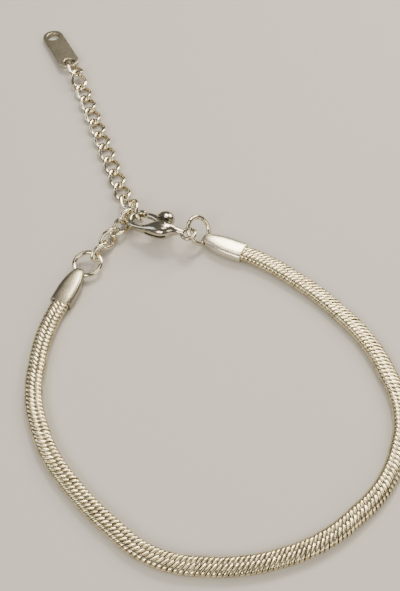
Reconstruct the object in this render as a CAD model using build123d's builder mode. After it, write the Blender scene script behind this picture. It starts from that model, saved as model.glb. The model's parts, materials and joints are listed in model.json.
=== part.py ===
from build123d import *
from math import atan2, cos, degrees, hypot, radians, sin, tan
import os

# Chain anklet, lying closed on a flat surface.
#
# A flat snake chain runs round the ankle from one end cap to the other.  A jump ring hangs in
# each cap.  The right ring carries a lobster clasp, the left ring a curb-link extender whose
# last link holds a blank tag.  The clasp is hooked on one of the extender's links.
#
# Frame: millimetres, +Z up from the surface.  The origin is the middle of the ankle's space,
# +Y runs from the front of the loop towards the extender and the tag.
# A heading is the angle in plan from +X, a pitch raises the +X end, a roll turns about it.

os.makedirs("parts", exist_ok=True)

# --- Snake chain ------------------------------------------------------------------------------
CHAIN_WIDTH = 3.3
CHAIN_THICKNESS = 1.8
CHAIN_EDGE_RADIUS = 0.65
CHAIN_HEIGHT = CHAIN_THICKNESS / 2     # centre line above the surface where the chain lies flat
ARC_SHARE = 0.45                       # share of the shorter run that each arc's tangent takes

# --- End caps ---------------------------------------------------------------------------------
CAP_LENGTH = 8.7
CAP_HALF_WIDTH = 2.1
CAP_THICKNESS = 2.4
CAP_TIP_THICKNESS = 2.0
CAP_TAPER_START = 4.2                  # from the mouth
CAP_TAPER_MIDDLE = (6.7, 1.55)         # distance from the mouth, half width there
CAP_TIP_HALF_WIDTH = 0.95
CAP_TIP_CORNER = 0.55
CAP_EDGE_RADIUS = 0.45
CAP_HEIGHT = CAP_THICKNESS / 2         # a cap's axis above the surface
SOCKET_DEPTH = 5.0
SOCKET_GAP = 0.06                      # round the chain's end in the socket
RING_SEAT = 7.9                        # from the mouth to the jump ring's wire
RING_WAY = 0.12                        # clearance round that wire

# --- Jump rings -------------------------------------------------------------------------------
RING_RADIUS = 2.6
RING_WIRE = 0.9

# --- Curb links -------------------------------------------------------------------------------
LINK_HALF_LENGTH = 2.45                # along the wire's centre line
LINK_HALF_WIDTH = 1.45
LINK_TWIST = 45                        # each end is turned by this angle out of the link's plane
LINK_WIRE = 0.72
LINK_FLAT = 0.76                       # the diamond-cut flats lie this far from the middle plane
LINK_CORNERS = (75, 45, 15, -15, -45, -75)
LINK_SPREAD = 1.035                    # the corners stand outside the oval, so that its arcs touch it

# --- Tag --------------------------------------------------------------------------------------
TAG_LENGTH = 14.6
TAG_WIDTH = 4.7
TAG_THICKNESS = 0.9
TAG_EDGE_RADIUS = 0.2
TAG_LINK_HOLE = 2.3
TAG_LINK_HOLE_EDGE = 1.65              # from the near end to the hole's centre
TAG_FREE_HOLE = 2.7
TAG_FREE_HOLE_EDGE = 2.35              # from the far end to the hole's centre

# --- Lobster clasp, in its own plane: u from the nose to the eye, v from the spine outwards -----
CLASP_ROLL = 0
HOOK_CENTRE = (2.5, 2.6)
HOOK_OUTSIDE = 2.5
HOOK_INSIDE = 1.3
HOOK_THICKNESS = 1.5
HOOK_TIP_OUTER = 0.85                  # the tip's outer and inner corners, from the hook's centre
HOOK_TIP_INNER = 0.45
HOOK_ROUNDING = 0.4
HOUSING_FRONT = 5.3
HOUSING_REAR = 9.9
HOUSING_THICKNESS = 3.0
HOUSING_ROUNDING = 0.45
HOUSING_STEP = 2.2                     # height of its front face, where the throat ends
HOUSING_SHOULDER = (6.2, 3.1)
HOUSING_CROWN = 3.85                   # over the pivot
HOUSING_REAR_LOW = 0.3
HOUSING_REAR_HIGH = 3.3
NECK_OVERLAP = 0.4                     # how far the neck runs into the housing and the eye
NECK_WIDTH = 1.1
NECK_THICKNESS = 1.0
EYE_RADIUS = 1.3
EYE_WIRE = 0.72
EYE_SLACK = 0.15
PIVOT = (8.2, 2.3)
PIN_RADIUS = 0.4
PIN_CLEARANCE = 0.05                   # between the pin and the lever
LEVER_SLOT = 1.4
LEVER_SLOT_FLOOR = 1.15
LEVER_THICKNESS = 1.15
LEVER_TIP_GAP = 0.15
# The arm's corners from the tip's underside to the pivot, and back over the top to the tip.
#    u     v
LEVER_ARM = (
    (4.6, 3.55),
    (5.9, 3.0),
    (7.3, 1.9),
    (9.15, 2.5),
    (9.2, 4.6),
    (6.2, 5.2),
)
BOSS_RADIUS = 1.0
KNOB_FRONT = (5.6, 4.5)
KNOB_TOP = (7.2, 6.25)
KNOB_REAR = (8.8, 4.5)
KNOB_THICKNESS = 2.3
SPINE_SLOT_FROM = 5.9
SPINE_SLOT_TO = 8.9
SPINE_SLOT_WIDTH = 1.0


def along(heading, length=1.0, rise=0.0):
    """Vector of a given length at a heading in plan, raised by an angle."""
    flat = length * cos(radians(rise))
    return Vector(
        flat * cos(radians(heading)),
        flat * sin(radians(heading)),
        length * sin(radians(rise)),
    )


def pose(point, heading, pitch=0.0, roll=0.0):
    """Plane whose X axis has the heading and pitch, rolled about that axis."""
    ahead = along(heading, 1.0, pitch)
    level = along(heading + 90)
    up = ahead.cross(level)
    normal = up * cos(radians(roll)) - level * sin(radians(roll))
    return Plane(origin=point, x_dir=ahead, z_dir=normal)


def side_of(plane):
    """The upright plane through a plane's X axis."""
    return Plane(origin=plane.origin, x_dir=plane.x_dir, z_dir=-plane.y_dir)


def end_of(plane, distance=0.0):
    """The plane square to a plane's X axis, a distance along it."""
    origin = plane.origin + plane.x_dir * distance
    return Plane(origin=origin, x_dir=plane.y_dir, z_dir=plane.x_dir)


def save(builder, label):
    """Label a finished piece and write its file."""
    builder.part.label = label
    export_step(builder.part, f"parts/{label}.step")


# --- Where the pieces lie ---------------------------------------------------------------------
LEFT_CAP = pose(Vector(-28.45, 13.3, CAP_HEIGHT), 68.4)
RIGHT_CAP = pose(Vector(5.8, 25.5, CAP_HEIGHT), 154.7)


def ring_pose(cap, swing, lift):
    """Plane of a jump ring in a cap: swung in plan from the cap's axis, its far side lifted."""
    seat = cap.origin + cap.x_dir * RING_SEAT
    heading = degrees(atan2(cap.x_dir.Y, cap.x_dir.X)) + swing
    return pose(seat + along(heading, RING_RADIUS, lift), heading, lift)


LEFT_RING = ring_pose(LEFT_CAP, -15, 7)
RIGHT_RING = ring_pose(RIGHT_CAP, -4, 48)
CLASP_NOSE = Vector(-16.6, 33.8, 2.25)
EYE_ON_RING = 65                       # where the clasp's eye crosses the right ring


# --- Snake chain ------------------------------------------------------------------------------
# Corners of the route between the caps' own straight stretches, from left to right.
#    X      Y
ROUTE = (
    (-31.9, -6.8),
    (-28.0, -17.8),
    (-21.0, -26.6),
    (-9.9, -36.6),
    (4.5, -37.4),
    (17.0, -33.5),
    (28.5, -23.2),
    (33.0, -9.7),
    (28.2, 5.3),
    (19.5, 16.0),
)
LEFT_STRAIGHT = 7.0                    # from the cap's mouth to the first corner
RIGHT_STRAIGHT = 5.0


def chain_corners():
    """All corners of the chain's route, its ends inside the sockets."""
    first = [LEFT_CAP.origin + LEFT_CAP.x_dir * d for d in (SOCKET_DEPTH, -LEFT_STRAIGHT)]
    last = [RIGHT_CAP.origin + RIGHT_CAP.x_dir * d for d in (-RIGHT_STRAIGHT, SOCKET_DEPTH)]
    return first + [Vector(x, y, CHAIN_HEIGHT) for x, y in ROUTE] + last


def corner_radii(corners):
    """Arc radius at each corner: as large as its two runs allow."""
    radii = []
    for before, corner, after in zip(corners, corners[1:], corners[2:]):
        run_in = corner - before
        run_out = after - corner
        half_turn = radians(run_in.get_angle(run_out)) / 2
        radii.append(ARC_SHARE * min(run_in.length, run_out.length) / tan(half_turn))
    return radii


corners = chain_corners()
radii = corner_radii(corners)
print("chain arc radii:", [round(radius, 1) for radius in radii])

with BuildPart() as snake_chain:
    with BuildLine() as route:
        FilletPolyline(*corners, radius=radii)
    path = route.wire()
    across = Vector(0, 0, 1).cross(path % 0)
    with BuildSketch(Plane(origin=path @ 0, x_dir=across, z_dir=path % 0)) as section:
        RectangleRounded(CHAIN_WIDTH, CHAIN_THICKNESS, CHAIN_EDGE_RADIUS)
    sweep(path=path)
expected = section.sketch.area * path.length
print(f"chain length {path.length:.1f}, volume {snake_chain.part.volume:.1f}, {expected:.1f} due")
save(snake_chain, "snake_chain")


# --- End caps ---------------------------------------------------------------------------------
def cap_plan():
    """Outline of a cap seen from above, mouth at the left."""
    taper_u, taper_v = CAP_TAPER_MIDDLE
    with BuildSketch() as plan:
        with BuildLine():
            Polyline((CAP_TAPER_START, CAP_HALF_WIDTH), (0, CAP_HALF_WIDTH), (0, 0))
            ThreePointArc(
                (CAP_TAPER_START, CAP_HALF_WIDTH),
                (taper_u, taper_v),
                (CAP_LENGTH, CAP_TIP_HALF_WIDTH),
            )
            Line((CAP_LENGTH, CAP_TIP_HALF_WIDTH), (CAP_LENGTH, 0))
            mirror(about=Plane.XZ)
        make_face()
        fillet(plan.vertices().group_by(Axis.X)[-1], CAP_TIP_CORNER)
    return plan.sketch


def cap_profile():
    """Outline of a cap seen from the side."""
    half = CAP_THICKNESS / 2
    with BuildSketch() as profile:
        with BuildLine():
            Polyline((0, 0), (0, half), (CAP_LENGTH, CAP_TIP_THICKNESS / 2), (CAP_LENGTH, 0))
            mirror(about=Plane.XZ)
        make_face()
    return profile.sketch


def make_end_cap(label, seat, ring):
    """Bullet-shaped cap, socketed on the chain's end, with a way for the ring at its tip."""
    with BuildPart() as cap:
        with BuildSketch(seat):
            add(cap_plan())
        extrude(amount=CAP_THICKNESS / 2, both=True)
        with BuildSketch(side_of(seat)):
            add(cap_profile())
        extrude(amount=CAP_HALF_WIDTH + 1, both=True, mode=Mode.INTERSECT)
        rims = cap.faces().filter_by(lambda face: abs(face.normal_at().Z) > 0.9)
        mouth = cap.faces().sort_by(Axis(seat.origin, seat.x_dir))[0]
        fillet(rims.edges() - mouth.edges(), CAP_EDGE_RADIUS)
        with BuildSketch(end_of(seat)):
            RectangleRounded(
                CHAIN_WIDTH + 2 * SOCKET_GAP,
                CHAIN_THICKNESS + 2 * SOCKET_GAP,
                CHAIN_EDGE_RADIUS + SOCKET_GAP,
            )
        extrude(amount=SOCKET_DEPTH + SOCKET_GAP, mode=Mode.SUBTRACT)
        with Locations(ring):
            Torus(RING_RADIUS, RING_WIRE / 2 + RING_WAY, mode=Mode.SUBTRACT)
    save(cap, label)


make_end_cap("end_cap_left", LEFT_CAP, LEFT_RING)
make_end_cap("end_cap_right", RIGHT_CAP, RIGHT_RING)


# --- Jump rings -------------------------------------------------------------------------------
for label, ring in (("jump_ring_left", LEFT_RING), ("jump_ring_right", RIGHT_RING)):
    with BuildPart() as jump_ring:
        with Locations(ring):
            Torus(RING_RADIUS, RING_WIRE / 2)
    save(jump_ring, label)


# --- Extender: curb links, from the tag to the left ring -----------------------------------------
def link_point(angle):
    """Corner of a curb link's twisted oval centre line."""
    turn = radians(LINK_TWIST * cos(radians(angle)))
    ahead = LINK_SPREAD * LINK_HALF_LENGTH * cos(radians(angle))
    reach = LINK_SPREAD * LINK_HALF_WIDTH * sin(radians(angle))
    return Vector(ahead, reach * cos(turn), reach * sin(turn))


def link_form():
    """One curb link about its own centre, with flats cut on its two faces."""
    bends = [link_point(angle) for angle in LINK_CORNERS]
    first = Vector(0, bends[0].Y, 0)
    last = Vector(0, bends[-1].Y, 0)
    corners = [first, *bends, last]
    with BuildPart() as half:
        with BuildLine() as centre:
            FilletPolyline(*corners, radius=corner_radii(corners))
        path = centre.wire()
        with BuildSketch(Plane(origin=path @ 0, z_dir=path % 0)):
            Circle(LINK_WIRE / 2)
        sweep(path=path)
    with BuildPart() as link:
        add(half.part)
        add(half.part.rotate(Axis.Z, 180))
        Box(4 * LINK_HALF_LENGTH, 4 * LINK_HALF_LENGTH, 2 * LINK_FLAT, mode=Mode.INTERSECT)
    return link.part


# The straight stretch lies flat, from the third link to the eleventh.
STRAIGHT_FROM = Vector(-28.27, 71.66, LINK_FLAT)
STRAIGHT_TO = Vector(-18.37, 41.87, LINK_FLAT)
STRAIGHT_LINKS = range(3, 12)
straight = STRAIGHT_TO - STRAIGHT_FROM
STRAIGHT_HEADING = degrees(atan2(-straight.Y, -straight.X))
print("straight link pitch:", round(straight.length / (len(STRAIGHT_LINKS) - 1), 3))

# The other links lean on their neighbours.
#    number   X       Y      Z     heading  pitch  roll
LEANING_LINKS = (
    (1, -30.733, 78.799, 1.413, 119.9, -5.3, 24.1),
    (2, -29.523, 75.262, 1.224, 106.3, 13.1, 11.7),
    (12, -17.043, 38.348, 1.665, 107.1, -17.8, 23.8),
    (13, -15.200, 35.295, 2.461, 111.7, 6.5, -83.5),
    (14, -16.865, 34.879, 1.737, 57.9, -19.4, -71.4),
    (15, -18.496, 31.760, 1.295, 52.7, 5.9, -4.0),
    (16, -20.078, 28.936, 1.735, 54.9, 1.8, 63.6),
    (17, -21.840, 25.881, 1.810, 60.8, 0.6, 104.9),
)

form = link_form()
link_poses = {number: pose(Vector(x, y, z), *angles) for number, x, y, z, *angles in LEANING_LINKS}
for step, number in enumerate(STRAIGHT_LINKS):
    place = STRAIGHT_FROM + straight * (step / (len(STRAIGHT_LINKS) - 1))
    link_poses[number] = pose(place, STRAIGHT_HEADING)
for number, place in sorted(link_poses.items()):
    with BuildPart() as extender_link:
        with Locations(place):
            add(form)
    save(extender_link, f"extender_link_{number:02d}")


# --- Tag, its far end on the surface and its near end on the first link --------------------------
TAG_HEADING = 115.5
TAG_TILT = 3.2
TAG_NEAR_END = Vector(-31.333, 79.568, 0.860)
tag_middle = TAG_NEAR_END + along(TAG_HEADING, TAG_LENGTH / 2, -TAG_TILT)
with BuildPart() as tag:
    with BuildSketch(pose(tag_middle, TAG_HEADING, -TAG_TILT)):
        SlotOverall(TAG_LENGTH, TAG_WIDTH)
        with Locations((TAG_LINK_HOLE_EDGE - TAG_LENGTH / 2, 0)):
            Circle(TAG_LINK_HOLE / 2, mode=Mode.SUBTRACT)
        with Locations((TAG_LENGTH / 2 - TAG_FREE_HOLE_EDGE, 0)):
            Circle(TAG_FREE_HOLE / 2, mode=Mode.SUBTRACT)
    extrude(amount=TAG_THICKNESS)
    faces = tag.faces().filter_by(lambda face: abs(face.normal_at().Z) > 0.9)
    fillet(faces.edges(), TAG_EDGE_RADIUS)
save(tag, "tag")


# --- Lobster clasp, from the extender to the right ring ------------------------------------------
eye_arm = RIGHT_RING.x_dir * cos(radians(EYE_ON_RING)) + RIGHT_RING.y_dir * sin(radians(EYE_ON_RING))
reach = RIGHT_RING.origin + eye_arm * RING_RADIUS - CLASP_NOSE
clasp_heading = degrees(atan2(reach.Y, reach.X))
clasp_pitch = degrees(atan2(reach.Z, hypot(reach.X, reach.Y)))
nose = pose(CLASP_NOSE, clasp_heading, clasp_pitch, CLASP_ROLL)
hook_u, hook_v = HOOK_CENTRE
CLASP = Plane(origin=nose.origin - nose.y_dir * hook_v, x_dir=nose.x_dir, z_dir=nose.z_dir)
eye_u = reach.length - EYE_SLACK


def across_clasp(u, v):
    """Plane across the clasp's thickness, centred on a point of its own plane."""
    return Plane(origin=CLASP.from_local_coords(Vector(u, v, 0)), x_dir=CLASP.x_dir, z_dir=CLASP.z_dir)


def hook_edge(radius, forward):
    """Point of a circle about the hook's centre, on the tip's side."""
    return (hook_u + forward, hook_v + (radius**2 - forward**2) ** 0.5)


tip_outer = hook_edge(HOOK_OUTSIDE, HOOK_TIP_OUTER)
tip_inner = hook_edge(HOOK_INSIDE, HOOK_TIP_INNER)

with BuildPart() as hook:
    with BuildSketch(CLASP):
        with BuildLine():
            spine = (hook_u, hook_v - HOOK_OUTSIDE)
            throat = (hook_u, hook_v - HOOK_INSIDE)
            ThreePointArc(tip_outer, (hook_u - HOOK_OUTSIDE, hook_v), spine)
            Polyline(spine, (HOUSING_FRONT + 1, spine[1]), (HOUSING_FRONT + 1, throat[1]), throat)
            ThreePointArc(throat, (hook_u - HOOK_INSIDE, hook_v), tip_inner)
            Line(tip_inner, tip_outer)
        make_face()
    extrude(amount=HOOK_THICKNESS / 2, both=True)
    root = hook.faces().sort_by(Axis(CLASP.origin, CLASP.x_dir))[-1]
    fillet(hook.edges() - root.edges(), HOOK_ROUNDING)

with BuildPart() as housing:
    with BuildSketch(CLASP):
        with BuildLine():
            rear_top = (HOUSING_REAR, HOUSING_REAR_HIGH)
            Polyline(
                HOUSING_SHOULDER,
                (HOUSING_FRONT, HOUSING_STEP),
                (HOUSING_FRONT, 0),
                (HOUSING_REAR, HOUSING_REAR_LOW),
                rear_top,
            )
            ThreePointArc(rear_top, (PIVOT[0], HOUSING_CROWN), HOUSING_SHOULDER)
        make_face()
    extrude(amount=HOUSING_THICKNESS / 2, both=True)
    fillet(housing.edges(), HOUSING_ROUNDING)

with BuildPart() as clasp_body:
    add(hook.part)
    add(housing.part)
    with BuildSketch(CLASP):
        with Locations((HOUSING_REAR - NECK_OVERLAP, hook_v)):
            neck = eye_u - EYE_RADIUS - HOUSING_REAR + 2 * NECK_OVERLAP
            Rectangle(neck, NECK_WIDTH, align=(Align.MIN, Align.CENTER))
    extrude(amount=NECK_THICKNESS / 2, both=True)
    with Locations(across_clasp(eye_u, hook_v)):
        Torus(EYE_RADIUS, EYE_WIRE / 2)
    with BuildSketch(CLASP):
        with Locations((HOUSING_FRONT - 0.1, LEVER_SLOT_FLOOR)):
            Rectangle(HOUSING_REAR - HOUSING_FRONT - 0.3, 4, align=(Align.MIN, Align.MIN))
    extrude(amount=LEVER_SLOT / 2, both=True, mode=Mode.SUBTRACT)
    with BuildSketch(CLASP):
        with Locations((SPINE_SLOT_FROM, LEVER_SLOT_FLOOR)):
            Rectangle(SPINE_SLOT_TO - SPINE_SLOT_FROM, 3, align=(Align.MIN, Align.MAX))
    extrude(amount=SPINE_SLOT_WIDTH / 2, both=True, mode=Mode.SUBTRACT)
    with Locations(across_clasp(*PIVOT)):
        Cylinder(PIN_RADIUS, 2 * HOUSING_THICKNESS, mode=Mode.SUBTRACT)
save(clasp_body, "clasp_body")

with BuildPart() as clasp_pin:
    with Locations(across_clasp(*PIVOT)):
        Cylinder(PIN_RADIUS, HOUSING_THICKNESS)
save(clasp_pin, "clasp_pin")

with BuildPart() as clasp_lever:
    with BuildSketch(CLASP):
        with BuildLine():
            Polyline(
                (tip_outer[0] + LEVER_TIP_GAP, tip_outer[1]),
                (tip_inner[0] + LEVER_TIP_GAP, tip_inner[1]),
                *LEVER_ARM,
                close=True,
            )
        make_face()
        with Locations(PIVOT):
            Circle(BOSS_RADIUS)
    extrude(amount=LEVER_THICKNESS / 2, both=True)
    with BuildSketch(CLASP):
        with BuildLine():
            ThreePointArc(KNOB_FRONT, KNOB_TOP, KNOB_REAR)
            Line(KNOB_REAR, KNOB_FRONT)
        make_face()
    extrude(amount=KNOB_THICKNESS / 2, both=True)
    with Locations(across_clasp(*PIVOT)):
        Cylinder(PIN_RADIUS + PIN_CLEARANCE, 2 * HOUSING_THICKNESS, mode=Mode.SUBTRACT)
save(clasp_lever, "clasp_lever")

pivot = across_clasp(*PIVOT)
print("lever pivot, mm:", pivot.origin, "axis:", pivot.z_dir)
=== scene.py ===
"""Looks of a chain anklet that lies closed on a table.

A flat snake chain runs round the ankle between two end caps.  A jump ring hangs in each cap,
one holds a lobster clasp and the other a curb-link extender with a blank tag on its end.
Lengths in the classes are millimetres, but for the studio's.  The meshes are in metres, in the
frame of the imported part.
"""

import bpy
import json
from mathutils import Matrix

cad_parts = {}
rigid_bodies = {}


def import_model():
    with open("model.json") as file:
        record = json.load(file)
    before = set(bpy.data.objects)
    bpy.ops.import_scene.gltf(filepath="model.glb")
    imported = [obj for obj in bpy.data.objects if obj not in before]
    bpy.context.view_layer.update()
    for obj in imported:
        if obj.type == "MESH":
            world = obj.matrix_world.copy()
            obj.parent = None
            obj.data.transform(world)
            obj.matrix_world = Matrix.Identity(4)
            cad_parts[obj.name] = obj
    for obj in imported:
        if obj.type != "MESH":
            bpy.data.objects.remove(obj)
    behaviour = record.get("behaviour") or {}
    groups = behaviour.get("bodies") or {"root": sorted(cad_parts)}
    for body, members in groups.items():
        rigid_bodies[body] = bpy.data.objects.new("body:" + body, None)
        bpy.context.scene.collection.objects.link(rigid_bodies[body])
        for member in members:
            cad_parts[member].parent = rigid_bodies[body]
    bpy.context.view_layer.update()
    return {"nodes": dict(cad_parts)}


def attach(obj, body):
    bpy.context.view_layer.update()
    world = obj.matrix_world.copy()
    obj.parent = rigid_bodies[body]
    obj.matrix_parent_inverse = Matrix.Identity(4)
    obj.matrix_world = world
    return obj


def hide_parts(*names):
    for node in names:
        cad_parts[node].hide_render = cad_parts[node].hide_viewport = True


for spare in list(bpy.data.objects):
    bpy.data.objects.remove(spare)
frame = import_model()

import json
import logging
import math
import random
from collections.abc import Callable
from dataclasses import dataclass, replace
from enum import Enum

import bmesh
from mathutils import Matrix, Vector

Pair = tuple[float, float]
Triple = tuple[float, float, float]

MM = 0.001
WELD = 1e-7                 # metres; vertices nearer than this are one
UP = (0.0, 0.0, 1.0)
FACING = 0.99               # share of a normal along an axis, past which a face looks that way
GRAIN_DETAIL = 3.0          # finer layers in a finish's grain
MOTTLE_DETAIL = 2.0         # finer layers in a finish's mottle
GRAIN_SPAN = (0.25, 0.75)   # values of the grain at the least and the most roughness
MOTTLE_SPAN = (0.3, 0.7)    # values of the mottle at the dark and the light tone

log = logging.getLogger("anklet")


class Body(Enum):
    """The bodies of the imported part."""

    ANKLET = "anklet"
    LEVER = "lever"


class Slot(Enum):
    """The record's material slots."""

    CHAIN = "chain_steel"
    SATIN = "satin_steel"
    POLISHED = "polished_steel"


class Pick(Enum):
    """What is selected on a mesh."""

    POINTS = "VERT"
    EDGES = "EDGE"
    FACES = "FACE"


class Work(Enum):
    """What a tool does to a piece."""

    CUT = "DIFFERENCE"
    WELD_ON = "UNION"


# --- Finishes ---------------------------------------------------------------------------------
@dataclass(frozen=True)
class SteelFinish:
    """One finish of stainless steel: its tones, its roughness and the marks of its making.

    Lengths are in millimetres.  The stretch draws the grain out along the piece's heading, which
    is the turn, in degrees.
    """

    name: str
    light: Triple
    dark: Triple
    roughness: float
    roughness_spread: float
    grain_pitch: float
    grain_depth: float
    stretch: Triple = (1.0, 1.0, 1.0)
    turn: float = 0.0
    mottle_pitch: float = 3.0

    def along(self, piece: str, turn: float) -> "SteelFinish":
        """Turn the finish's grain to the heading of one piece.

        Args:
            piece: The piece's name.
            turn: Its heading in degrees.

        Returns:
            The turned finish.
        """
        return replace(self, name=f"{self.name}_{piece}", turn=turn)

    def material(self) -> bpy.types.Material:
        """Build the finish's nodes.

        Returns:
            The new material.
        """
        steel = bpy.data.materials.new(self.name)
        steel.use_nodes = True
        nodes = steel.node_tree.nodes
        links = steel.node_tree.links
        shader = nodes["Principled BSDF"]
        shader.inputs["Metallic"].default_value = 1.0
        place = nodes.new("ShaderNodeTexCoord")
        lay = nodes.new("ShaderNodeMapping")
        lay.vector_type = "TEXTURE"
        lay.inputs["Rotation"].default_value = (0.0, 0.0, math.radians(self.turn))
        lay.inputs["Scale"].default_value = self.stretch
        links.new(place.outputs["Object"], lay.inputs["Vector"])
        grain = self._noise(steel, lay.outputs["Vector"], self.grain_pitch, GRAIN_DETAIL)
        mottle = self._noise(steel, place.outputs["Object"], self.mottle_pitch, MOTTLE_DETAIL)
        tone = nodes.new("ShaderNodeValToRGB")
        for stop, value, colour in zip(
            tone.color_ramp.elements, MOTTLE_SPAN, (self.dark, self.light)
        ):
            stop.position = value
            stop.color = (*colour, 1.0)
        links.new(mottle.outputs["Fac"], tone.inputs["Fac"])
        links.new(tone.outputs["Color"], shader.inputs["Base Color"])
        rough = nodes.new("ShaderNodeMapRange")
        rough.inputs["From Min"].default_value = GRAIN_SPAN[0]
        rough.inputs["From Max"].default_value = GRAIN_SPAN[1]
        rough.inputs["To Min"].default_value = self.roughness - self.roughness_spread
        rough.inputs["To Max"].default_value = self.roughness + self.roughness_spread
        links.new(grain.outputs["Fac"], rough.inputs["Value"])
        links.new(rough.outputs["Result"], shader.inputs["Roughness"])
        bump = nodes.new("ShaderNodeBump")
        bump.inputs["Strength"].default_value = 1.0
        bump.inputs["Distance"].default_value = self.grain_depth * MM
        links.new(grain.outputs["Fac"], bump.inputs["Height"])
        links.new(bump.outputs["Normal"], shader.inputs["Normal"])
        return steel

    def _noise(
        self,
        steel: bpy.types.Material,
        where: bpy.types.NodeSocket,
        pitch: float,
        detail: float,
    ) -> bpy.types.Node:
        """Add a noise whose marks are about one pitch across.

        Args:
            steel: The material that gets the node.
            where: The coordinates that it reads.
            pitch: Size of one mark in millimetres.
            detail: How many finer layers it has.

        Returns:
            The noise node.
        """
        noise = steel.node_tree.nodes.new("ShaderNodeTexNoise")
        noise.inputs["Scale"].default_value = 1.0 / (pitch * MM)
        noise.inputs["Detail"].default_value = detail
        steel.node_tree.links.new(where, noise.inputs["Vector"])
        return noise


WOVEN = SteelFinish(
    name="woven_chain_steel",
    light=(0.75, 0.67, 0.45),
    dark=(0.46, 0.41, 0.27),
    roughness=0.24,
    roughness_spread=0.05,
    grain_pitch=0.12,
    grain_depth=0.001,
    mottle_pitch=1.6,
)
# Near-black core: painted shade for the gaps between the chain's strips.
CORE_SHADE = SteelFinish(
    name="chain_gap_shade",
    light=(0.12, 0.11, 0.09),
    dark=(0.05, 0.045, 0.04),
    roughness=0.5,
    roughness_spread=0.08,
    grain_pitch=0.2,
    grain_depth=0.01,
)
SATIN = SteelFinish(
    name="satin_steel",
    light=(0.47, 0.43, 0.33),
    dark=(0.38, 0.35, 0.26),
    roughness=0.28,
    roughness_spread=0.035,
    grain_pitch=0.11,
    grain_depth=0.0022,
    stretch=(14.0, 1.0, 1.0),
    mottle_pitch=5.0,
)
# Darker copy of the satin, for the left cap: painted shade.
SHADED_SATIN = replace(
    SATIN, name="shaded_satin_steel", light=(0.40, 0.37, 0.29), dark=(0.31, 0.285, 0.22)
)
# Lighter copy of the satin, for the right cap: painted highlight.
LIT_SATIN = replace(
    SATIN, name="lit_satin_steel", light=(0.72, 0.68, 0.57), dark=(0.62, 0.58, 0.48)
)
POLISHED = SteelFinish(
    name="polished_steel",
    light=(0.76, 0.70, 0.54),
    dark=(0.62, 0.57, 0.43),
    roughness=0.12,
    roughness_spread=0.04,
    grain_pitch=0.35,
    grain_depth=0.001,
    mottle_pitch=1.5,
)
CAST = SteelFinish(
    name="cast_steel",
    light=(0.55, 0.52, 0.42),
    dark=(0.40, 0.38, 0.30),
    roughness=0.15,
    roughness_spread=0.05,
    grain_pitch=0.35,
    grain_depth=0.004,
    mottle_pitch=1.8,
)


# --- Tools of the bench -----------------------------------------------------------------------
def deselect() -> None:
    """Leave the mesh mode and drop everything that is selected."""
    if bpy.context.object and bpy.context.object.mode != "OBJECT":
        bpy.ops.object.mode_set(mode="OBJECT")
    bpy.ops.object.select_all(action="DESELECT")


def take_up(piece: bpy.types.Object) -> None:
    """Make a piece the only one selected.

    Args:
        piece: The piece.
    """
    deselect()
    piece.select_set(True)
    bpy.context.view_layer.objects.active = piece


def settle(piece: bpy.types.Object, place: Matrix | None = None) -> bpy.types.Object:
    """Put a piece's place into its mesh, so that its object sits at the origin.

    Args:
        piece: The piece.
        place: Where it goes, or None if it is there.

    Returns:
        The same piece.
    """
    take_up(piece)
    bpy.ops.object.transform_apply(location=True, rotation=True, scale=True)
    if place is not None:
        piece.data.transform(place)
    return piece


def copy_to(pattern: bpy.types.Object, place: Matrix) -> bpy.types.Object:
    """Copy a piece with a mesh of its own.

    Args:
        pattern: The piece that repeats.
        place: Where the copy goes.

    Returns:
        The copy.
    """
    copy = pattern.copy()
    copy.data = pattern.data.copy()
    copy.data.transform(place)
    bpy.context.scene.collection.objects.link(copy)
    return copy


def join(pieces: list[bpy.types.Object], name: str) -> bpy.types.Object:
    """Join pieces into one.

    Args:
        pieces: What is joined.
        name: The joined piece's name.

    Returns:
        The joined piece.
    """
    deselect()
    for piece in pieces:
        piece.select_set(True)
    bpy.context.view_layer.objects.active = pieces[0]
    bpy.ops.object.join()
    pieces[0].name = name
    return pieces[0]


def discard(piece: bpy.types.Object) -> None:
    """Remove a pattern that isn't needed any more."""
    bpy.data.objects.remove(piece, do_unlink=True)


def dress(piece: bpy.types.Object, finish: bpy.types.Material) -> None:
    """Give a piece one finish all over."""
    piece.data.materials.clear()
    piece.data.materials.append(finish)


def pick_edges(piece: bpy.types.Object, wanted: Callable[[Vector, Vector], bool]) -> None:
    """Select the edges that pass a test, and go to the mesh mode.

    Args:
        piece: The piece.
        wanted: The test, which gets an edge's two ends.
    """
    clear_picks(piece, Pick.EDGES)
    points = piece.data.vertices
    for edge in piece.data.edges:
        a, b = (points[index].co for index in edge.vertices)
        edge.select = wanted(a, b)
    bpy.ops.object.mode_set(mode="EDIT")


def pick_faces(piece: bpy.types.Object, wanted: Callable[[Vector, Vector], bool]) -> None:
    """Select the faces that pass a test, and go to the mesh mode.

    Args:
        piece: The piece.
        wanted: The test, which gets a face's normal and centre.
    """
    clear_picks(piece, Pick.FACES)
    for face in piece.data.polygons:
        face.select = wanted(face.normal, face.center)
    bpy.ops.object.mode_set(mode="EDIT")


def clear_picks(piece: bpy.types.Object, kind: Pick) -> None:
    """Drop every pick on a mesh and leave it in the object mode.

    Args:
        piece: The piece.
        kind: What is picked next.
    """
    if bpy.context.object is not piece or piece.mode != "EDIT":
        take_up(piece)
        bpy.ops.object.mode_set(mode="EDIT")
    bpy.ops.mesh.select_mode(type=kind.value)
    bpy.ops.mesh.select_all(action="DESELECT")
    bpy.ops.object.mode_set(mode="OBJECT")


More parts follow.
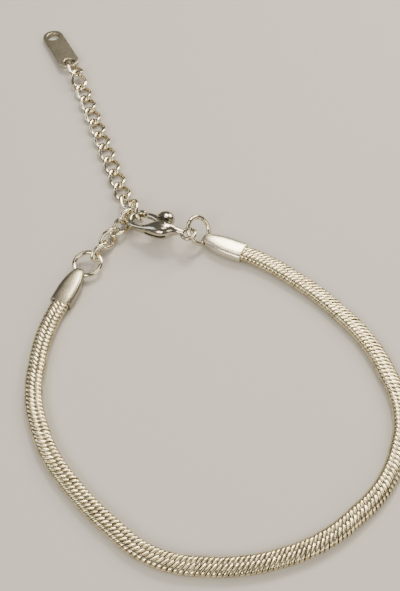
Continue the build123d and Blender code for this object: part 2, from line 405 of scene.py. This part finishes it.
def saw(
    piece: bpy.types.Object,
    point: Triple,
    normal: Triple,
    drop: bool = False,
    fill: bool = False,
) -> None:
    """Cut a mesh with a plane.

    Args:
        piece: What is cut.
        point: A point of the plane, in millimetres.
        normal: The plane's normal.
        drop: Whether the side behind the plane is taken off.
        fill: Whether the cut is closed with a face.
    """
    if piece.mode != "EDIT":
        take_up(piece)
        bpy.ops.object.mode_set(mode="EDIT")
    bpy.ops.mesh.select_all(action="SELECT")
    bpy.ops.mesh.bisect(
        plane_co=Vector(point) * MM,
        plane_no=normal,
        clear_inner=drop,
        use_fill=fill,
        threshold=WELD,
    )


def turn_outwards(piece: bpy.types.Object) -> None:
    """Weld a mesh's doubles and make its faces point outwards.

    Args:
        piece: The piece.
    """
    take_up(piece)
    bpy.ops.object.mode_set(mode="EDIT")
    bpy.ops.mesh.select_mode(type=Pick.POINTS.value)
    bpy.ops.mesh.select_all(action="SELECT")
    bpy.ops.mesh.remove_doubles(threshold=WELD)
    bpy.ops.mesh.normals_make_consistent(inside=False)
    bpy.ops.object.mode_set(mode="OBJECT")


def combine(piece: bpy.types.Object, tool: bpy.types.Object, work: Work) -> None:
    """Cut a tool out of a piece, or weld it on, and put the tool away.

    Args:
        piece: What is worked on.
        tool: The other solid.
        work: What the tool does.
    """
    take_up(piece)
    bpy.ops.object.modifier_add(type="BOOLEAN")
    step = piece.modifiers[-1]
    step.operation = work.value
    step.solver = "EXACT"
    step.object = tool
    bpy.ops.object.modifier_apply(modifier=step.name)
    discard(tool)


def smooth(piece: bpy.types.Object, angle: float = 40.0) -> None:
    """Shade a piece smoothly, but for edges sharper than an angle in degrees."""
    take_up(piece)
    bpy.ops.object.shade_smooth_by_angle(angle=math.radians(angle))


@dataclass(frozen=True)
class Station:
    """One section of a formed bar, in the bar's own plane; lengths are millimetres."""

    ahead: float
    out: float
    turn: float
    half_out: float
    half_across: float

    def matrix(self) -> Matrix:
        """Work out the way from the unit section to this one.

        Returns:
            The matrix, into metres.
        """
        lean = math.radians(self.turn)
        run = Vector((math.cos(lean), math.sin(lean), 0.0)) * MM
        side = Vector((-math.sin(lean), math.cos(lean), 0.0)) * self.half_out * MM
        over = Vector(UP) * self.half_across * MM
        turned = Matrix((run, side, over)).transposed().to_4x4()
        turned.translation = Vector((self.ahead, self.out, 0.0)) * MM
        return turned


def form_bar(
    name: str, stations: list[Station], corners: int, squareness: float
) -> bpy.types.Object:
    """Form a bar by drawing one section out through its stations.

    Args:
        name: The piece's name.
        stations: The sections, in order.
        corners: How many corners a section has.
        squareness: 1 for an oval section, less for a squarer one.

    Returns:
        The closed bar, in its own plane.
    """
    deselect()
    bpy.ops.mesh.primitive_circle_add(
        vertices=corners, radius=1.0, fill_type="NGON", rotation=(0.0, math.pi / 2, 0.0)
    )
    bar = settle(bpy.context.object)
    bar.name = name
    for point in bar.data.vertices:
        point.co.y = math.copysign(abs(point.co.y) ** squareness, point.co.y)
        point.co.z = math.copysign(abs(point.co.z) ** squareness, point.co.z)
    place = stations[0].matrix()
    bar.data.transform(place)
    bpy.ops.object.mode_set(mode="EDIT")
    bpy.ops.mesh.select_mode(type=Pick.FACES.value)
    bpy.ops.mesh.select_all(action="SELECT")
    for station in stations[1:]:
        bpy.ops.mesh.extrude_region_move()
        step = station.matrix() @ place.inverted()
        drawn = bmesh.from_edit_mesh(bar.data)
        for point in drawn.verts:
            if point.select:
                point.co = step @ point.co
        bmesh.update_edit_mesh(bar.data)
        place = station.matrix()
    bpy.ops.object.mode_set(mode="OBJECT")
    turn_outwards(bar)
    return bar


def frame_matrix(origin: Triple, x_dir: Triple | Vector, z_dir: Triple) -> Matrix:
    """Work out the way from a piece's own plane to its place.

    Args:
        origin: Where the plane's origin lies, in millimetres.
        x_dir: The plane's first direction.
        z_dir: Its normal.

    Returns:
        The matrix, into metres.
    """
    ahead = Vector(x_dir).normalized()
    normal = Vector(z_dir).normalized()
    turned = Matrix((ahead, normal.cross(ahead), normal)).transposed().to_4x4()
    turned.translation = Vector(origin) * MM
    return turned


def hand_over(piece: bpy.types.Object, body: Body, node: str) -> None:
    """Put a piece on the body that carries it, and hide the CAD node that it stands for.

    Args:
        piece: The finished piece.
        body: The body that carries it.
        node: The CAD node that it replaces.
    """
    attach(piece, body.value)
    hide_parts(node)
    log.info("%s: %d faces, for %s", piece.name, len(piece.data.polygons), node)


def heading(degrees: float) -> Vector:
    """Unit vector at a heading in plan."""
    return Vector((math.cos(math.radians(degrees)), math.sin(math.radians(degrees)), 0.0))


# --- Snake chain ------------------------------------------------------------------------------
@dataclass(frozen=True)
class Run:
    """A straight stretch of the chain's route.  Lengths are millimetres."""

    length: float
    start: Vector
    ahead: Vector

    def at(self, way: float) -> tuple[Vector, Vector]:
        """The point some way along the run, and the direction there."""
        return self.start + self.ahead * way, self.ahead


@dataclass(frozen=True)
class Arc:
    """A round stretch of the chain's route.  Lengths are millimetres."""

    length: float
    centre: Vector
    arm: Vector
    axis: Vector
    radius: float

    def at(self, way: float) -> tuple[Vector, Vector]:
        """The point some way along the arc, and the direction there."""
        turned = Matrix.Rotation(way / self.radius, 3, self.axis) @ self.arm
        return self.centre + turned, self.axis.cross(turned).normalized()


@dataclass(frozen=True)
class ChainRoute:
    """The chain's centre line: straight runs with an arc at each bend.

    A cap's point is the middle of its mouth, and its heading, in degrees, runs from the mouth to
    the cap's nose.  A straight is the way from a mouth to the corner next to it.
    """

    left_cap: Triple = (-28.45, 13.3, 1.2)
    left_heading: float = 68.4
    right_cap: Triple = (5.8, 25.5, 1.2)
    right_heading: float = 154.7
    left_straight: float = 7.0
    right_straight: float = 5.0
    socket_depth: float = 5.0
    height: float = 0.9
    arc_share: float = 0.45
    bends: tuple[Pair, ...] = (
        (-31.9, -6.8),
        (-28.0, -17.8),
        (-21.0, -26.6),
        (-9.9, -36.6),
        (4.5, -37.4),
        (17.0, -33.5),
        (28.5, -23.2),
        (33.0, -9.7),
        (28.2, 5.3),
        (19.5, 16.0),
    )

    def corners(self) -> list[Vector]:
        """List the route's corners.

        Returns:
            The points from the left cap's socket to the right one's.
        """
        left = Vector(self.left_cap)
        right = Vector(self.right_cap)
        from_left = heading(self.left_heading)
        from_right = heading(self.right_heading)
        first = [left + from_left * self.socket_depth, left - from_left * self.left_straight]
        last = [right - from_right * self.right_straight, right + from_right * self.socket_depth]
        return first + [Vector((x, y, self.height)) for x, y in self.bends] + last

    def stretches(self) -> list[Run | Arc]:
        """Cut the route into runs and arcs.

        Returns:
            The stretches, in order.
        """
        corners = self.corners()
        found = []
        start = corners[0]
        for before, corner, after in zip(corners, corners[1:], corners[2:]):
            run_in = (corner - before).normalized()
            run_out = (after - corner).normalized()
            shorter = min((corner - before).length, (after - corner).length)
            tangent = self.arc_share * shorter
            turn = run_in.angle(run_out)
            radius = tangent / math.tan(turn / 2)
            arc_start = corner - run_in * tangent
            inward = (run_out - run_in).normalized()
            centre = corner + inward * (radius / math.cos(turn / 2))
            found.append(Run((arc_start - start).length, start, run_in))
            axis = run_in.cross(run_out).normalized()
            found.append(Arc(radius * turn, centre, arc_start - centre, axis, radius))
            start = corner + run_out * tangent
        last = corners[-1] - start
        found.append(Run(last.length, start, last.normalized()))
        return found

    def places(self, pitch: float, margin: float) -> list[Matrix]:
        """Step along the route.

        Args:
            pitch: The step in millimetres.
            margin: How near to each end the steps may come.

        Returns:
            One matrix for each step, into metres, with X ahead, Y towards the inside of the
            loop and Z up.
        """
        stretches = self.stretches()
        whole = sum(stretch.length for stretch in stretches)
        count = int((whole - 2 * margin) / pitch)
        spare = (whole - count * pitch) / 2
        found = []
        for step in range(count + 1):
            way = spare + step * pitch
            for stretch in stretches:
                if way <= stretch.length or stretch is stretches[-1]:
                    break
                way -= stretch.length
            point, ahead = stretch.at(way)
            across = Vector(UP).cross(ahead).normalized()
            up = ahead.cross(across)
            turn = Matrix((ahead, across, up)).transposed().to_4x4()
            found.append(Matrix.Translation(point * MM) @ turn)
        return found


@dataclass
class SnakeChain:
    """Flat snake chain: slanted strips in two columns that meet in a zigzag along the middle.

    A strip is a closed brick from one edge to just past the middle, by the overlap, and the two
    columns stand half a pitch apart.  Near the middle, over the meeting, it sinks by the meeting
    drop, and its end is cut at a slope, which draws the zigzag.  The wobble is how unevenly the
    strips tip, in degrees, and the skin is how deep the core lies under their outsides; the core
    is dressed near black as painted shade in the gaps between the strips.
    """

    route: ChainRoute
    width: float = 3.36
    thickness: float = 1.8
    edge_radius: float = 0.80
    edge_steps: int = 3
    pitch: float = 0.836
    strip_gap: float = 0.10
    strip_rounding: float = 0.125
    rounding_steps: int = 2
    crease: float = 50.0
    outer_slant: float = 36.0
    inner_slant: float = 26.0
    meeting: float = 0.30
    overlap: float = 0.11
    meeting_drop: float = 0.07
    meeting_slope: float = 0.55
    wobble: float = 2.0
    seed: int = 7
    socket_reach: float = 1.2
    skin: float = 0.2
    core_edge_steps: int = 2
    core_margin: float = 0.5

    def strip(self, slant: float, inner: bool) -> bpy.types.Object:
        """Model one strip about the chain's middle.

        Args:
            slant: Angle of the strip out of square to the chain, in degrees.
            inner: Whether it belongs to the column inside the loop.

        Returns:
            The strip, at the origin.
        """
        lean = math.tan(math.radians(slant))
        breadth = (self.pitch - self.strip_gap) * MM
        size = (breadth, self.width * MM, self.thickness * MM)
        deselect()
        bpy.ops.mesh.primitive_cube_add(size=1, scale=size)
        strip = settle(bpy.context.object)
        strip.name = "chain_strip"
        pick_edges(strip, lambda a, b: abs(a.x - b.x) > breadth / 2)
        bpy.ops.mesh.bevel(
            offset=self.edge_radius * MM, segments=self.edge_steps, profile=0.5, affect="EDGES"
        )
        pick_edges(strip, lambda a, b: abs(a.x - b.x) < WELD and abs(a.x) > breadth / 2 - WELD)
        bpy.ops.mesh.bevel(
            offset=self.strip_rounding * MM,
            segments=self.rounding_steps,
            profile=0.5,
            affect="EDGES",
        )
        saw(strip, (0, -self.overlap, 0), (0, 1, 0), drop=True, fill=True)
        saw(strip, (0, self.meeting, 0), (0, 1, 0))
        bpy.ops.object.mode_set(mode="OBJECT")
        slope = self.meeting_slope if inner else -self.meeting_slope
        for point in strip.data.vertices:
            if point.co.y < WELD:
                point.co.z -= math.copysign(self.meeting_drop * MM, point.co.z)
                point.co.y -= point.co.x * slope
        if not inner:
            strip.rotation_euler = (math.pi, 0.0, 0.0)
            settle(strip)
        for point in strip.data.vertices:
            point.co.x += point.co.y * lean
        turn_outwards(strip)
        smooth(strip, self.crease)
        return strip

    def weave(self) -> bpy.types.Object:
        """Lay the strips along the route.

        Returns:
            All strips as one piece.
        """
        outer = self.strip(self.outer_slant, inner=False)
        inner = self.strip(self.inner_slant, inner=True)
        half = Matrix.Translation((self.pitch / 2 * MM, 0, 0))
        margin = self.route.socket_depth - self.socket_reach
        chance = random.Random(self.seed)
        strips = []
        for place in self.route.places(self.pitch, margin):
            for pattern, shift in ((outer, Matrix()), (inner, half)):
                tip = Matrix.Rotation(math.radians(chance.gauss(0, self.wobble)), 4, "Y")
                strips.append(copy_to(pattern, place @ shift @ tip))
        discard(outer)
        discard(inner)
        return join(strips, "chain_weave")

    def core_section(self) -> list[Vector]:
        """Shape the dark core's section.

        Returns:
            Its points in order round the chain, in metres.
        """
        width = (self.width - 2 * self.skin) * MM
        thickness = (self.thickness - 2 * self.skin) * MM
        deselect()
        bpy.ops.mesh.primitive_cube_add(size=1, scale=(self.pitch * MM, width, thickness))
        block = settle(bpy.context.object)
        pick_edges(block, lambda a, b: abs(a.x - b.x) > self.pitch / 2 * MM)
        bpy.ops.mesh.bevel(
            offset=(self.edge_radius - self.skin) * MM,
            segments=self.core_edge_steps,
            profile=0.5,
            affect="EDGES",
        )
        bpy.ops.object.mode_set(mode="OBJECT")
        ends = (point.co for point in block.data.vertices if point.co.x > 0)
        section = [Vector((0.0, co.y, co.z)) for co in ends]
        discard(block)
        return sorted(section, key=lambda co: math.atan2(co.z, co.y))

    def core(self) -> bpy.types.Object:
        """Run a core inside the strips, which closes the gaps between them with painted shade.

        Returns:
            The core.
        """
        section = self.core_section()
        places = self.route.places(self.pitch, self.core_margin)
        points = [place @ co for place in places for co in section]
        count = len(section)
        faces = []
        for row in range(len(places) - 1):
            for column in range(count):
                after = (column + 1) % count
                low = row * count
                high = low + count
                faces.append((low + column, high + column, high + after, low + after))
        faces.append(tuple(range(count)))
        faces.append(tuple(reversed(range(len(points) - count, len(points)))))
        mesh = bpy.data.meshes.new("chain_shade_core")
        mesh.from_pydata(points, [], faces)
        core = bpy.data.objects.new("chain_shade_core", mesh)
        bpy.context.scene.collection.objects.link(core)
        turn_outwards(core)
        return core

    def build(self) -> None:
        """Model the chain, dress it and put it in the CAD node's stead."""
        weave = self.weave()
        dress(weave, WOVEN.material())
        core = self.core()
        # The core's near-black finish is painted shade between the strips.
        dress(core, CORE_SHADE.material())
        for piece in (weave, core):
            hand_over(piece, Body.ANKLET, "snake_chain")


# --- Jump rings and end caps ------------------------------------------------------------------
@dataclass
class JumpRing:
    """Ring of round wire whose ends meet at a fine slit, at an angle round the ring in degrees.

    The way is the room that its cap leaves round the wire.
    """

    name: str
    node: str
    origin: Triple
    x_dir: Triple
    z_dir: Triple
    slit_at: float
    radius: float = 2.6
    wire: float = 0.9
    way: float = 0.12
    way_steps: int = 96
    steps: int = 240
    sides: int = 24

    def place(self) -> Matrix:
        """Where the ring lies."""
        return frame_matrix(self.origin, self.x_dir, self.z_dir)

    def way_tool(self) -> bpy.types.Object:
        """Shape a fuller ring in the same place, which cuts the ring's way through its cap.

        Returns:
            The fuller ring.
        """
        deselect()
        bpy.ops.mesh.primitive_torus_add(
            major_segments=self.way_steps,
            minor_segments=self.sides,
            major_radius=self.radius * MM,
            minor_radius=(self.wire / 2 + self.way) * MM,
        )
        return settle(bpy.context.object, self.place())

    def build(self, finish: bpy.types.Material) -> None:
        """Model the ring, dress it and put it in the CAD node's stead.

        Args:
            finish: What it is dressed in.
        """
        deselect()
        bpy.ops.mesh.primitive_torus_add(
            major_segments=self.steps,
            minor_segments=self.sides,
            major_radius=self.radius * MM,
            minor_radius=self.wire / 2 * MM,
        )
        ring = settle(bpy.context.object)
        ring.name = self.name
        width = math.pi / self.steps
        middle = math.radians(self.slit_at) + width

        def in_slit(normal: Vector, centre: Vector) -> bool:
            """Whether a face lies in the slit."""
            around = math.atan2(centre.y, centre.x) - middle
            return abs(math.remainder(around, 2 * math.pi)) < width

        pick_faces(ring, in_slit)
        bpy.ops.mesh.delete(type="FACE")
        bpy.ops.mesh.select_mode(type=Pick.EDGES.value)
        bpy.ops.mesh.select_all(action="DESELECT")
        bpy.ops.mesh.select_non_manifold()
        bpy.ops.mesh.fill_holes(sides=self.sides)
        bpy.ops.object.mode_set(mode="OBJECT")
        settle(ring, self.place())
        smooth(ring)
        dress(ring, finish)
        hand_over(ring, Body.ANKLET, self.node)


@dataclass
class EndCap:
    """Bullet-shaped cap with a softly crowned top, an open mouth and a way for its ring.

    A section is its distance from the mouth and its half width and half height.
    """

    name: str
    node: str
    mouth: Triple
    turn: float
    ring: JumpRing
    finish: SteelFinish
    wall: float = 0.3
    mouth_depth: float = 1.6
    corners: int = 32
    squareness: float = 0.55
    sections: tuple[Triple, ...] = (
        (0.00, 2.00, 1.10),
        (0.08, 2.07, 1.17),
        (0.22, 2.10, 1.20),
        (1.60, 2.12, 1.20),
        (3.40, 2.10, 1.20),
        (4.60, 2.02, 1.19),
        (5.60, 1.86, 1.17),
        (6.50, 1.62, 1.14),
        (7.30, 1.34, 1.09),
        (7.95, 1.10, 1.02),
        (8.40, 0.90, 0.90),
        (8.62, 0.68, 0.72),
        (8.70, 0.42, 0.46),
    )

    def build(self) -> None:
        """Model the cap, dress it and put it in the CAD node's stead."""
        stations = [Station(x, 0.0, 0.0, side, over) for x, side, over in self.sections]
        cap = form_bar(self.name, stations, self.corners, self.squareness)
        pick_faces(cap, lambda normal, centre: normal.x < -FACING and centre.x < WELD)
        bpy.ops.mesh.inset(thickness=self.wall * MM)
        bpy.ops.mesh.extrude_region_move(
            TRANSFORM_OT_translate={"value": (self.mouth_depth * MM, 0.0, 0.0)}
        )
        bpy.ops.object.mode_set(mode="OBJECT")
        turn_outwards(cap)
        settle(cap, frame_matrix(self.mouth, heading(self.turn), UP))
        combine(cap, self.ring.way_tool(), Work.CUT)
        smooth(cap)
        dress(cap, self.finish.along(self.name, self.turn).material())
        hand_over(cap, Body.ANKLET, self.node)


# --- Lobster clasp ----------------------------------------------------------------------------
@dataclass
class LobsterClasp:
    """Cast claw with a slotted housing, a gate with a domed thumb knob, a rivet and an eye.

    In the clasp's own plane the first axis runs from the nose to the eye and the second
    outwards from the spine.  The hook runs round its centre from the tip to the spine.  A row of
    the tip is its angle round that centre, its half thickness and its half width across the
    plane; a row of the housing has its two places in the plane and the same two halves; a row of
    the gate has its turn in degrees between them.
    """

    origin: Triple = (-17.7304, 31.4586, 2.25)
    x_dir: Triple = (0.893244, -0.431256, 0.127019)
    z_dir: Triple = (-0.114386, 0.055225, 0.9919)
    corners: int = 24
    cast_squareness: float = 0.8
    gate_squareness: float = 0.7
    hook_centre: Pair = (2.5, 2.6)
    hook_radius: float = 1.9
    hook_end: float = 270.0
    hook_steps: int = 15
    hook_half: float = 0.6
    hook_half_across: float = 0.75
    tip: tuple[Triple, ...] = (
        (71.0, 0.28, 0.36),
        (72.5, 0.44, 0.55),
        (75.5, 0.55, 0.68),
        (82.0, 0.60, 0.75),
    )
    housing: tuple[tuple[float, ...], ...] = (
        (3.5, 0.71, 0.62, 0.80),
        (4.4, 0.78, 0.72, 0.96),
        (5.1, 0.98, 0.99, 1.18),
        (5.8, 1.32, 1.42, 1.36),
        (6.7, 1.68, 1.82, 1.47),
        (7.6, 1.86, 2.00, 1.50),
        (8.5, 1.94, 1.92, 1.47),
        (9.2, 2.06, 1.66, 1.36),
        (9.7, 2.22, 1.30, 1.18),
        (10.1, 2.38, 1.00, 0.98),
        (10.7, 2.50, 0.78, 0.76),
        (11.4, 2.58, 0.62, 0.60),
        (12.1, 2.60, 0.46, 0.46),
    )
    eye_at: float = 13.224
    eye_radius: float = 1.3
    eye_wire: float = 0.72
    eye_steps: int = 64
    eye_sides: int = 20
    slot_ends: Pair = (5.0, 9.6)
    slot_heights: Pair = (1.15, 6.0)
    slot_width: float = 1.4
    spine_slot_ends: Pair = (4.9, 9.3)
    spine_slot_heights: Pair = (-1.0, 1.4)
    spine_slot_width: float = 0.46
    slot_rounding: float = 0.49
    slot_steps: int = 6
    pivot: Pair = (8.2, 2.3)
    rivet_radius: float = 0.42
    rivet_length: float = 3.08
    rivet_sides: int = 32
    rivet_rounding: float = 0.14
    rivet_steps: int = 3
    gate: tuple[tuple[float, ...], ...] = (
        (3.33, 4.37, -4.0, 0.34, 0.34),
        (3.42, 4.37, -4.0, 0.50, 0.48),
        (3.65, 4.36, -4.0, 0.58, 0.56),
        (4.60, 4.30, -5.0, 0.60, 0.575),
        (5.60, 4.15, -12.0, 0.72, 0.575),
        (6.50, 3.85, -24.0, 0.88, 0.575),
        (7.30, 3.35, -40.0, 1.00, 0.575),
        (7.90, 2.75, -52.0, 1.00, 0.575),
        (8.30, 2.20, -58.0, 0.86, 0.575),
        (8.55, 1.80, -58.0, 0.45, 0.50),
    )
    knob_at: Pair = (7.15, 4.5)
    knob_half: Triple = (1.95, 2.0, 1.5)
    knob_floor: float = 3.95
    knob_segments: int = 40
    knob_rings: int = 24

    def place(self) -> Matrix:
        """Where the clasp lies."""
        return frame_matrix(self.origin, self.x_dir, self.z_dir)

    def cutter(self, ends: Pair, heights: Pair, width: float) -> bpy.types.Object:
        """Shape a block with rounded ends that cuts a slot.

        Args:
            ends: Where the slot starts and stops along the clasp.
            heights: Its floor and top, outwards from the spine.
            width: Its width across the plane.

        Returns:
            The block, in the clasp's own plane.
        """
        deselect()
        middle = (sum(ends) / 2 * MM, sum(heights) / 2 * MM, 0.0)
        size = ((ends[1] - ends[0]) * MM, (heights[1] - heights[0]) * MM, width * MM)
        bpy.ops.mesh.primitive_cube_add(size=1, location=middle, scale=size)
        block = settle(bpy.context.object)
        pick_edges(block, lambda a, b: abs(a.y - b.y) > size[1] / 2)
        bpy.ops.mesh.bevel(
            offset=width * self.slot_rounding * MM, segments=self.slot_steps, affect="EDGES"
        )
        bpy.ops.object.mode_set(mode="OBJECT")
        return block

    def claw(self) -> bpy.types.Object:
        """Model the cast body: hook, slotted housing, neck and eye.

        Returns:
            The body, in its own plane.
        """
        rows = list(self.tip)
        first = self.tip[-1][0]
        for step in range(1, self.hook_steps + 1):
            angle = first + (self.hook_end - first) * step / self.hook_steps
            rows.append((angle, self.hook_half, self.hook_half_across))
        ahead, out = self.hook_centre
        stations = []
        for angle, half, across in rows:
            arm = heading(angle) * self.hook_radius
            stations.append(Station(ahead + arm.x, out + arm.y, angle + 90.0, half, across))
        along_spine = self.hook_end + 90.0
        for place_ahead, place_out, half, across in self.housing:
            stations.append(Station(place_ahead, place_out, along_spine, half, across))
        claw = form_bar("clasp_claw", stations, self.corners, self.cast_squareness)
        for ends, heights, width in (
            (self.slot_ends, self.slot_heights, self.slot_width),
            (self.spine_slot_ends, self.spine_slot_heights, self.spine_slot_width),
        ):
            combine(claw, self.cutter(ends, heights, width), Work.CUT)
        deselect()
        bpy.ops.mesh.primitive_torus_add(
            location=(self.eye_at * MM, out * MM, 0.0),
            major_segments=self.eye_steps,
            minor_segments=self.eye_sides,
            major_radius=self.eye_radius * MM,
            minor_radius=self.eye_wire / 2 * MM,
        )
        combine(claw, settle(bpy.context.object), Work.WELD_ON)
        return claw

    def rivet(self) -> bpy.types.Object:
        """Model the rivet that the gate turns on.

        Returns:
            The rivet, in the clasp's own plane.
        """
        deselect()
        bpy.ops.mesh.primitive_cylinder_add(
            vertices=self.rivet_sides,
            radius=self.rivet_radius * MM,
            depth=self.rivet_length * MM,
            location=(self.pivot[0] * MM, self.pivot[1] * MM, 0.0),
        )
        rivet = settle(bpy.context.object)
        rivet.name = "clasp_rivet"
        pick_edges(rivet, lambda a, b: abs(a.z - b.z) < WELD)
        bpy.ops.mesh.bevel(
            offset=self.rivet_rounding * MM, segments=self.rivet_steps, affect="EDGES"
        )
        bpy.ops.object.mode_set(mode="OBJECT")
        return rivet

    def gate_and_knob(self) -> bpy.types.Object:
        """Model the lever: the gate's arm with its domed knob.

        Returns:
            The lever, in the clasp's own plane.
        """
        stations = [Station(*numbers) for numbers in self.gate]
        gate = form_bar("clasp_gate", stations, self.corners, self.gate_squareness)
        deselect()
        bpy.ops.mesh.primitive_uv_sphere_add(
            segments=self.knob_segments,
            ring_count=self.knob_rings,
            radius=1.0,
            location=(self.knob_at[0] * MM, self.knob_at[1] * MM, 0.0),
            scale=[half * MM for half in self.knob_half],
        )
        knob = settle(bpy.context.object)
        saw(knob, (0, self.knob_floor, 0), (0, 1, 0), drop=True, fill=True)
        bpy.ops.object.mode_set(mode="OBJECT")
        turn_outwards(knob)
        combine(gate, knob, Work.WELD_ON)
        return gate

    def build(self, finish: bpy.types.Material) -> None:
        """Model the clasp, dress it and put it in the CAD nodes' stead.

        Args:
            finish: What it is dressed in.
        """
        for piece, body, node in (
            (self.claw(), Body.ANKLET, "clasp_body"),
            (self.rivet(), Body.ANKLET, "clasp_pin"),
            (self.gate_and_knob(), Body.LEVER, "clasp_lever"),
        ):
            settle(piece, self.place())
            smooth(piece)
            dress(piece, finish)
            hand_over(piece, body, node)


# --- Extender ---------------------------------------------------------------------------------
@dataclass
class Extender:
    """Curb links in a heavy wire and a plain tag, which keeps the CAD's own shape.

    The tag's heading, in degrees, is the way that its brushed grain runs.
    """

    links: int = 17
    heavier: float = 0.06
    crease: float = 30.0
    tag_heading: float = 115.5

    def link(self, number: int) -> tuple[bpy.types.Object, str]:
        """Copy one link of the CAD and fatten its wire.

        Args:
            number: Which link, counted from the tag.

        Returns:
            The link, and the node that it stands for.
        """
        node = f"extender_link_{number:02d}"
        link = bpy.data.objects.new(f"curb_link_{number:02d}", frame["nodes"][node].data.copy())
        bpy.context.scene.collection.objects.link(link)
        turn_outwards(link)
        pick_faces(link, lambda normal, centre: True)
        bpy.ops.transform.shrink_fatten(value=self.heavier * MM)
        bpy.ops.object.mode_set(mode="OBJECT")
        for point in link.data.vertices:
            point.co.z = max(point.co.z, 0.0)
        return link, node

    def build(self, finish: bpy.types.Material) -> None:
        """Model and dress every link, and dress the tag.

        Args:
            finish: What the links are dressed in.
        """
        for number in range(1, self.links + 1):
            link, node = self.link(number)
            smooth(link, self.crease)
            dress(link, finish)
            hand_over(link, Body.ANKLET, node)
        brushed = SATIN.along("tag", self.tag_heading)
        dress(frame["nodes"]["tag"], brushed.material())
        log.info("tag: the CAD's own, in %s", brushed.name)


# --- Studio -----------------------------------------------------------------------------------
@dataclass(frozen=True)
class Lamp:
    """One square soft light that faces the table's middle.  Lengths are metres."""

    at: Triple
    size: float
    watts: float
    tone: Triple = (1.0, 0.89, 0.72)

    def hang(self) -> None:
        """Hang the light in its place."""
        bpy.ops.object.light_add(type="AREA", location=self.at)
        lamp = bpy.context.object
        lamp.data.size = self.size
        lamp.data.energy = self.watts
        lamp.data.color = self.tone
        lamp.rotation_euler = (-Vector(self.at)).to_track_quat("-Z", "Y").to_euler()


@dataclass(frozen=True)
class Studio:
    """Table, soft lights and camera.  Lengths are metres.

    The warm lamps stand where the tops of the caps, the strips and the links mirror them to the
    camera, and the large one on the right keeps the sides from going dark.
    """

    table_size: float = 3.0
    table_tone: Triple = (0.50, 0.485, 0.465)
    table_roughness: float = 0.6
    lamps: tuple[Lamp, ...] = (
        Lamp(at=(0.050, 0.357, 0.415), size=0.16, watts=2.0),
        Lamp(at=(-0.04, 0.17, 0.57), size=0.16, watts=0.5),
        Lamp(at=(0.306, 0.406, 0.318), size=0.26, watts=2.4),
        Lamp(at=(-0.234, -0.374, 0.345), size=0.28, watts=2.7),
        Lamp(at=(0.42, -0.28, 0.34), size=0.45, watts=2.0),
        Lamp(at=(-0.45, 0.10, 0.40), size=0.30, watts=0.8, tone=(0.90, 0.94, 1.0)),
    )
    air_tone: Triple = (0.50, 0.49, 0.47)
    air_strength: float = 0.36
    camera_at: Triple = (-0.00258, -0.09675, 0.150)
    camera_tilt: float = 37.0
    camera_nearest: float = 0.005
    lens: float = 60.9

    def table(self) -> None:
        """Lay a plain pale table under the anklet."""
        deselect()
        bpy.ops.mesh.primitive_plane_add(size=self.table_size, location=(0, 0, 0))
        table = settle(bpy.context.object)
        table.name = "table"
        paint = bpy.data.materials.new("table_top")
        paint.use_nodes = True
        shader = paint.node_tree.nodes["Principled BSDF"]
        shader.inputs["Base Color"].default_value = (*self.table_tone, 1.0)
        shader.inputs["Roughness"].default_value = self.table_roughness
        table.data.materials.append(paint)

    def lights(self) -> None:
        """Hang the lamps and fill the room with a weak even light."""
        for lamp in self.lamps:
            lamp.hang()
        world = bpy.context.scene.world or bpy.data.worlds.new("studio")
        bpy.context.scene.world = world
        world.use_nodes = True
        back = world.node_tree.nodes["Background"]
        back.inputs["Color"].default_value = (*self.air_tone, 1.0)
        back.inputs["Strength"].default_value = self.air_strength

    def camera(self) -> None:
        """Set the camera over the front of the loop."""
        bpy.ops.object.camera_add(
            location=self.camera_at, rotation=(math.radians(self.camera_tilt), 0.0, 0.0)
        )
        camera = bpy.context.object
        camera.data.lens = self.lens
        camera.data.clip_start = self.camera_nearest
        bpy.context.scene.camera = camera

    def build(self) -> None:
        """Set up the whole studio."""
        self.table()
        self.lights()
        self.camera()


def main() -> None:
    """Build every piece in order."""
    logging.basicConfig(level=logging.INFO, format="%(name)s: %(message)s")
    polished = POLISHED.material()
    route = ChainRoute()
    SnakeChain(route).build()
    left_ring = JumpRing(
        name="ring_left",
        node="jump_ring_left",
        origin=(-24.0032, 22.717, 1.5169),
        x_dir=(0.591781, 0.796833, 0.121869),
        z_dir=(-0.072662, -0.097839, 0.992546),
        slit_at=75.0,
    )
    right_ring = JumpRing(
        name="ring_right",
        node="jump_ring_right",
        origin=(-2.8594, 29.7275, 3.1322),
        x_dir=(-0.583528, 0.327461, 0.743145),
        z_dir=(0.648074, -0.363682, 0.669131),
        slit_at=-70.0,
    )
    # The left cap takes the darker satin copy and the right cap the lighter one: painted shade
    # and painted highlight.
    caps = (
        EndCap(
            name="cap_left",
            node="end_cap_left",
            mouth=route.left_cap,
            turn=route.left_heading,
            ring=left_ring,
            finish=SHADED_SATIN,
        ),
        EndCap(
            name="cap_right",
            node="end_cap_right",
            mouth=route.right_cap,
            turn=route.right_heading,
            ring=right_ring,
            finish=LIT_SATIN,
        ),
    )
    for cap in caps:
        cap.build()
        cap.ring.build(polished)
    LobsterClasp().build(CAST.material())
    Extender().build(polished)
    Studio().build()
    deselect()


if __name__ == "__main__":
    main()
